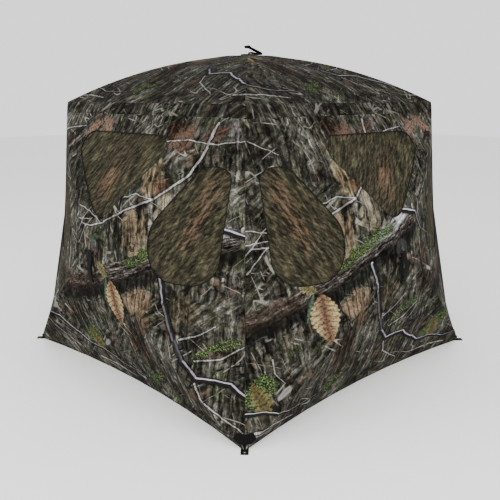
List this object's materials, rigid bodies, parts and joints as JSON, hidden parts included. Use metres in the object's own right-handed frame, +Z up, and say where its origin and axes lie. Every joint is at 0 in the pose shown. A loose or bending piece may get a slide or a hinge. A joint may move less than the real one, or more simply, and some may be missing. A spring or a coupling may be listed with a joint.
{
  "type": "pop up ground blind",
  "caption": "Square pop up ground blind with a domed roof, camouflage walls, netted windows, a zipped door, push-through hubs and bowed poles.",
  "frame": {"origin": "on the ground, under the roof hub, at the centre of the footprint", "axes": "+Z up; the walls face -Y (front), +X (right), +Y (back, with the door) and -X (left)"},
  "size_m": [2.1046, 2.1046, 1.6819],
  "materials": {
    "camo_fabric": "woodland print",
    "window_net": "printed net",
    "lining_fabric": "black coated",
    "black_webbing": "woven",
    "zip_tape": "coil zip on tape",
    "hub_plastic": "moulded",
    "fastener_steel": "zinc plated",
    "eyelet_metal": "blackened",
    "fibreglass": "pultruded rod"
  },
  "bodies": {
    "shell": {"wall_front": "camo_fabric", "wall_right": "camo_fabric", "wall_back": "camo_fabric", "wall_left": "camo_fabric", "roof": "camo_fabric", "eave_bands": "camo_fabric", "hem_tape": "black_webbing", "window_nets_front": "window_net", "window_nets_right": "window_net", "window_nets_left": "window_net", "cover_rolls_front": "lining_fabric", "cover_rolls_right": "lining_fabric", "cover_rolls_left": "lining_fabric", "corner_patches": "black_webbing", "corner_sleeves": "black_webbing", "stake_tabs": "black_webbing", "stake_eyelets": "eyelet_metal"},
    "hub_front": {"hub_front": "hub_plastic", "hub_cap_front": "hub_plastic", "hub_fasteners_front": "fastener_steel"},
    "pole_front_1": {"pole_front_1": "fibreglass"},
    "pole_front_2": {"pole_front_2": "fibreglass"},
    "pole_front_3": {"pole_front_3": "fibreglass"},
    "pole_front_4": {"pole_front_4": "fibreglass"},
    "strap_front": {"pull_strap_front": "black_webbing"},
    "hub_right": {"hub_right": "hub_plastic", "hub_cap_right": "hub_plastic", "hub_fasteners_right": "fastener_steel"},
    "pole_right_1": {"pole_right_1": "fibreglass"},
    "pole_right_2": {"pole_right_2": "fibreglass"},
    "pole_right_3": {"pole_right_3": "fibreglass"},
    "pole_right_4": {"pole_right_4": "fibreglass"},
    "strap_right": {"pull_strap_right": "black_webbing"},
    "hub_back": {"hub_back": "hub_plastic", "hub_cap_back": "hub_plastic", "hub_fasteners_back": "fastener_steel"},
    "pole_back_1": {"pole_back_1": "fibreglass"},
    "pole_back_2": {"pole_back_2": "fibreglass"},
    "pole_back_3": {"pole_back_3": "fibreglass"},
    "pole_back_4": {"pole_back_4": "fibreglass"},
    "strap_back": {"pull_strap_back": "black_webbing"},
    "hub_left": {"hub_left": "hub_plastic", "hub_cap_left": "hub_plastic", "hub_fasteners_left": "fastener_steel"},
    "pole_left_1": {"pole_left_1": "fibreglass"},
    "pole_left_2": {"pole_left_2": "fibreglass"},
    "pole_left_3": {"pole_left_3": "fibreglass"},
    "pole_left_4": {"pole_left_4": "fibreglass"},
    "strap_left": {"pull_strap_left": "black_webbing"},
    "hub_roof": {"hub_roof": "hub_plastic", "hub_cap_roof": "hub_plastic", "hub_fasteners_roof": "fastener_steel"},
    "pole_roof_1": {"pole_roof_1": "fibreglass"},
    "pole_roof_2": {"pole_roof_2": "fibreglass"},
    "pole_roof_3": {"pole_roof_3": "fibreglass"},
    "pole_roof_4": {"pole_roof_4": "fibreglass"},
    "strap_roof": {"pull_strap_roof": "black_webbing"},
    "doorway": {"door_zip": "zip_tape"},
    "door": {"door_panel": "camo_fabric"}
  },
  "joints": [
    {"name": "hub_front_push", "type": "slide", "parent": "shell", "child": "hub_front", "axis": [0, -0.9922, 0.1244], "range_m": [-0.43, 0], "deforming": ["wall_front", "window_nets_front", "cover_rolls_front"]},
    {"name": "pole_front_1_pin", "type": "hinge", "parent": "hub_front", "child": "pole_front_1", "pos_m": [-0.02332, -1.00853, 0.72628], "axis": [0.6289, -0.0967, -0.7714], "range_deg": [-23.78, 0.5]},
    {"name": "pole_front_2_pin", "type": "hinge", "parent": "hub_front", "child": "pole_front_2", "pos_m": [0.02332, -1.00853, 0.72628], "axis": [0.6289, 0.0967, 0.7714], "range_deg": [-23.78, 0.5]},
    {"name": "pole_front_3_pin", "type": "hinge", "parent": "hub_front", "child": "pole_front_3", "pos_m": [0.02155, -1.00359, 0.76571], "axis": [-0.6958, 0.0893, 0.7127], "range_deg": [-27.64, 0.5]},
    {"name": "pole_front_4_pin", "type": "hinge", "parent": "hub_front", "child": "pole_front_4", "pos_m": [-0.02155, -1.00359, 0.76571], "axis": [-0.6958, -0.0893, -0.7127], "range_deg": [-27.64, 0.5]},
    {"name": "strap_front_swing", "type": "hinge", "parent": "hub_front", "child": "strap_front", "pos_m": [0, -1.04697, 0.72996], "axis": [-1, 0, 0], "range_deg": [-3, 140]},
    {"name": "hub_right_push", "type": "slide", "parent": "shell", "child": "hub_right", "axis": [0.9922, 0, 0.1244], "range_m": [-0.43, 0], "deforming": ["wall_right", "window_nets_right", "cover_rolls_right"]},
    {"name": "pole_right_1_pin", "type": "hinge", "parent": "hub_right", "child": "pole_right_1", "pos_m": [1.00853, -0.02332, 0.72628], "axis": [0.0967, 0.6289, -0.7714], "range_deg": [-23.78, 0.5]},
    {"name": "pole_right_2_pin", "type": "hinge", "parent": "hub_right", "child": "pole_right_2", "pos_m": [1.00853, 0.02332, 0.72628], "axis": [-0.0967, 0.6289, 0.7714], "range_deg": [-23.78, 0.5]},
    {"name": "pole_right_3_pin", "type": "hinge", "parent": "hub_right", "child": "pole_right_3", "pos_m": [1.00359, 0.02155, 0.76571], "axis": [-0.0893, -0.6958, 0.7127], "range_deg": [-27.64, 0.5]},
    {"name": "pole_right_4_pin", "type": "hinge", "parent": "hub_right", "child": "pole_right_4", "pos_m": [1.00359, -0.02155, 0.76571], "axis": [0.0893, -0.6958, -0.7127], "range_deg": [-27.64, 0.5]},
    {"name": "strap_right_swing", "type": "hinge", "parent": "hub_right", "child": "strap_right", "pos_m": [1.04697, 0, 0.72996], "axis": [0, -1, 0], "range_deg": [-3, 140]},
    {"name": "hub_back_push", "type": "slide", "parent": "shell", "child": "hub_back", "axis": [0, 0.9922, 0.1244], "range_m": [-0.43, 0], "deforming": ["wall_back"]},
    {"name": "pole_back_1_pin", "type": "hinge", "parent": "hub_back", "child": "pole_back_1", "pos_m": [0.02332, 1.00853, 0.72628], "axis": [-0.6289, 0.0967, -0.7714], "range_deg": [-23.78, 0.5]},
    {"name": "pole_back_2_pin", "type": "hinge", "parent": "hub_back", "child": "pole_back_2", "pos_m": [-0.02332, 1.00853, 0.72628], "axis": [-0.6289, -0.0967, 0.7714], "range_deg": [-23.78, 0.5]},
    {"name": "pole_back_3_pin", "type": "hinge", "parent": "hub_back", "child": "pole_back_3", "pos_m": [-0.02155, 1.00359, 0.76571], "axis": [0.6958, -0.0893, 0.7127], "range_deg": [-27.64, 0.5]},
    {"name": "pole_back_4_pin", "type": "hinge", "parent": "hub_back", "child": "pole_back_4", "pos_m": [0.02155, 1.00359, 0.76571], "axis": [0.6958, 0.0893, -0.7127], "range_deg": [-27.64, 0.5]},
    {"name": "strap_back_swing", "type": "hinge", "parent": "hub_back", "child": "strap_back", "pos_m": [0, 1.04697, 0.72996], "axis": [1, 0, 0], "range_deg": [-3, 140]},
    {"name": "hub_left_push", "type": "slide", "parent": "shell", "child": "hub_left", "axis": [-0.9922, 0, 0.1244], "range_m": [-0.43, 0], "deforming": ["wall_left", "window_nets_left", "cover_rolls_left"]},
    {"name": "pole_left_1_pin", "type": "hinge", "parent": "hub_left", "child": "pole_left_1", "pos_m": [-1.00853, 0.02332, 0.72628], "axis": [-0.0967, -0.6289, -0.7714], "range_deg": [-23.78, 0.5]},
    {"name": "pole_left_2_pin", "type": "hinge", "parent": "hub_left", "child": "pole_left_2", "pos_m": [-1.00853, -0.02332, 0.72628], "axis": [0.0967, -0.6289, 0.7714], "range_deg": [-23.78, 0.5]},
    {"name": "pole_left_3_pin", "type": "hinge", "parent": "hub_left", "child": "pole_left_3", "pos_m": [-1.00359, -0.02155, 0.76571], "axis": [0.0893, 0.6958, 0.7127], "range_deg": [-27.64, 0.5]},
    {"name": "pole_left_4_pin", "type": "hinge", "parent": "hub_left", "child": "pole_left_4", "pos_m": [-1.00359, 0.02155, 0.76571], "axis": [-0.0893, 0.6958, -0.7127], "range_deg": [-27.64, 0.5]},
    {"name": "strap_left_swing", "type": "hinge", "parent": "hub_left", "child": "strap_left", "pos_m": [-1.04697, 0, 0.72996], "axis": [0, 1, 0], "range_deg": [-3, 140]},
    {"name": "hub_roof_push", "type": "slide", "parent": "shell", "child": "hub_roof", "axis": [0, 0, 1], "range_m": [-0.48, 0], "deforming": ["roof", "eave_bands", "corner_sleeves"]},
    {"name": "pole_roof_1_pin", "type": "hinge", "parent": "hub_roof", "child": "pole_roof_1", "pos_m": [-0.02121, -0.02121, 1.638], "axis": [0.7071, -0.7071, 0], "range_deg": [-30.21, 0.5]},
    {"name": "pole_roof_2_pin", "type": "hinge", "parent": "hub_roof", "child": "pole_roof_2", "pos_m": [0.02121, -0.02121, 1.638], "axis": [0.7071, 0.7071, 0], "range_deg": [-30.21, 0.5]},
    {"name": "pole_roof_3_pin", "type": "hinge", "parent": "hub_roof", "child": "pole_roof_3", "pos_m": [0.02121, 0.02121, 1.638], "axis": [-0.7071, 0.7071, 0], "range_deg": [-30.21, 0.5]},
    {"name": "pole_roof_4_pin", "type": "hinge", "parent": "hub_roof", "child": "pole_roof_4", "pos_m": [-0.02121, 0.02121, 1.638], "axis": [-0.7071, -0.7071, 0], "range_deg": [-30.21, 0.5]},
    {"name": "strap_roof_swing", "type": "hinge", "parent": "hub_roof", "child": "strap_roof", "pos_m": [0, 0.016, 1.6766], "axis": [1, 0, 0], "range_deg": [0, 60]},
    {"name": "doorway_fold", "type": "hinge", "parent": "shell", "child": "doorway", "pos_m": [-0.838, 0.87239, 0.14809], "axis": [0.1319, -0.1233, 0.9836], "range_deg": [-33.5, 0.5]},
    {"name": "door_swing", "type": "hinge", "parent": "doorway", "child": "door", "pos_m": [-0.838, 0.87239, 0.14809], "axis": [0.1319, -0.1233, 0.9836], "range_deg": [0, 120]}
  ],
  "couplings": [
    {"joint": "pole_front_1_pin", "follows": "hub_front_push", "rad_per_m": 0.94481},
    {"joint": "pole_front_2_pin", "follows": "hub_front_push", "rad_per_m": 0.94481},
    {"joint": "pole_front_3_pin", "follows": "hub_front_push", "rad_per_m": 1.1015},
    {"joint": "pole_front_4_pin", "follows": "hub_front_push", "rad_per_m": 1.1015},
    {"joint": "pole_right_1_pin", "follows": "hub_right_push", "rad_per_m": 0.94481},
    {"joint": "pole_right_2_pin", "follows": "hub_right_push", "rad_per_m": 0.94481},
    {"joint": "pole_right_3_pin", "follows": "hub_right_push", "rad_per_m": 1.1015},
    {"joint": "pole_right_4_pin", "follows": "hub_right_push", "rad_per_m": 1.1015},
    {"joint": "pole_back_1_pin", "follows": "hub_back_push", "rad_per_m": 0.94481},
    {"joint": "pole_back_2_pin", "follows": "hub_back_push", "rad_per_m": 0.94481},
    {"joint": "pole_back_3_pin", "follows": "hub_back_push", "rad_per_m": 1.1015},
    {"joint": "pole_back_4_pin", "follows": "hub_back_push", "rad_per_m": 1.1015},
    {"joint": "pole_left_1_pin", "follows": "hub_left_push", "rad_per_m": 0.94481},
    {"joint": "pole_left_2_pin", "follows": "hub_left_push", "rad_per_m": 0.94481},
    {"joint": "pole_left_3_pin", "follows": "hub_left_push", "rad_per_m": 1.1015},
    {"joint": "pole_left_4_pin", "follows": "hub_left_push", "rad_per_m": 1.1015},
    {"joint": "pole_roof_1_pin", "follows": "hub_roof_push", "rad_per_m": 1.0802},
    {"joint": "pole_roof_2_pin", "follows": "hub_roof_push", "rad_per_m": 1.0802},
    {"joint": "pole_roof_3_pin", "follows": "hub_roof_push", "rad_per_m": 1.0802},
    {"joint": "pole_roof_4_pin", "follows": "hub_roof_push", "rad_per_m": 1.0802},
    {"joint": "doorway_fold", "follows": "hub_back_push", "rad_per_m": 1.3394}
  ]
}
